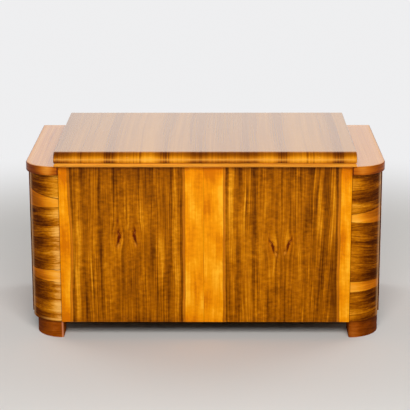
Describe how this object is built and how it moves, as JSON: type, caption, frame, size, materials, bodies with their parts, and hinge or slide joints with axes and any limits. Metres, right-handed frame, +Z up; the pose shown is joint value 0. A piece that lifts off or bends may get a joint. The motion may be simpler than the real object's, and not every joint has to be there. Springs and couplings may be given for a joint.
{
  "type": "blanket chest",
  "caption": "Veneered blanket chest with a flat front between quarter-round pillars, a raised hinged lid with a rolled front edge, low side caps, block feet and a lid stay.",
  "frame": {"origin": "on the floor, midway between the ends, midway between the lid's front edge and the caps' back", "axes": "+X to the right as seen from the front, -Y towards the front, +Z up"},
  "size_m": [1, 0.546, 0.54],
  "materials": {
    "front_veneer": "gloss lacquer over figured walnut veneer",
    "pillar_veneer": "gloss lacquer over cross-banded walnut veneer",
    "end_veneer": "gloss lacquer over walnut veneer",
    "cap_veneer": "gloss lacquer over straight-grained veneer",
    "lid_veneer": "gloss lacquer over striped walnut veneer",
    "lipping": "gloss lacquer over solid timber",
    "foot_wood": "satin stained solid timber",
    "core_board": "stained edges, plain inside",
    "softwood": "bare planed pine",
    "plywood": "bare three-ply",
    "brass": "aged brass",
    "steel": "dull steel"
  },
  "bodies": {
    "case": {"front_leaf_1": "front_veneer", "front_leaf_2": "front_veneer", "front_leaf_3": "front_veneer", "front_leaf_4": "front_veneer", "pillar_veneer_left": "pillar_veneer", "pillar_veneer_right": "pillar_veneer", "end_veneer_left": "end_veneer", "end_veneer_right": "end_veneer", "cap_veneer_left": "cap_veneer", "cap_veneer_right": "cap_veneer", "cap_lipping_left": "lipping", "cap_lipping_right": "lipping", "foot_front_left": "foot_wood", "foot_front_right": "foot_wood", "foot_rear_left": "foot_wood", "foot_rear_right": "foot_wood", "front_panel": "core_board", "end_panel_left": "core_board", "end_panel_right": "core_board", "pillar_shell_left": "core_board", "pillar_shell_right": "core_board", "cap_core_left": "core_board", "cap_core_right": "core_board", "hinge_rail": "softwood", "base_cleats": "softwood", "foot_dowels": "softwood", "front_stile_left": "softwood", "front_stile_right": "softwood", "end_stile_left": "softwood", "end_stile_right": "softwood", "rear_stile_left": "softwood", "rear_stile_right": "softwood", "corner_block_left": "softwood", "corner_block_right": "softwood", "cap_bearer_left": "softwood", "cap_bearer_right": "softwood", "back_panel": "plywood", "base_panel": "plywood", "hinge_left_lower_leaf": "brass", "hinge_right_lower_leaf": "brass", "hinge_pins": "brass", "stay_anchor": "brass", "carcass_screws": "brass", "back_panel_nails": "steel"},
    "lid": {"lid_leaf_left": "lid_veneer", "lid_leaf_right": "lid_veneer", "lid_bead_front": "lipping", "lid_bead_left": "lipping", "lid_bead_right": "lipping", "lid_nosing": "core_board", "lid_back_rail": "softwood", "lid_end_rail_left": "softwood", "lid_end_rail_right": "softwood", "lid_top_panel": "plywood", "lid_lining": "plywood", "hinge_left_upper_leaf": "brass", "hinge_right_upper_leaf": "brass", "stay_bracket": "brass", "lid_screws": "brass"},
    "stay_arm": {"stay_arm": "brass"}
  },
  "joints": [
    {"name": "lid_hinge", "type": "hinge", "parent": "case", "child": "lid", "pos_m": [0, 0.2697, 0.5], "axis": [-1, 0, 0], "range_deg": [0, 100]},
    {"name": "stay_swing", "type": "hinge", "parent": "lid", "child": "stay_arm", "pos_m": [0.397, 0.11015, 0.488], "axis": [1, 0, 0], "range_deg": [0, 50]}
  ],
  "couplings": [
    {"joint": "stay_swing", "follows": "lid_hinge", "ratio": 0.5}
  ]
}
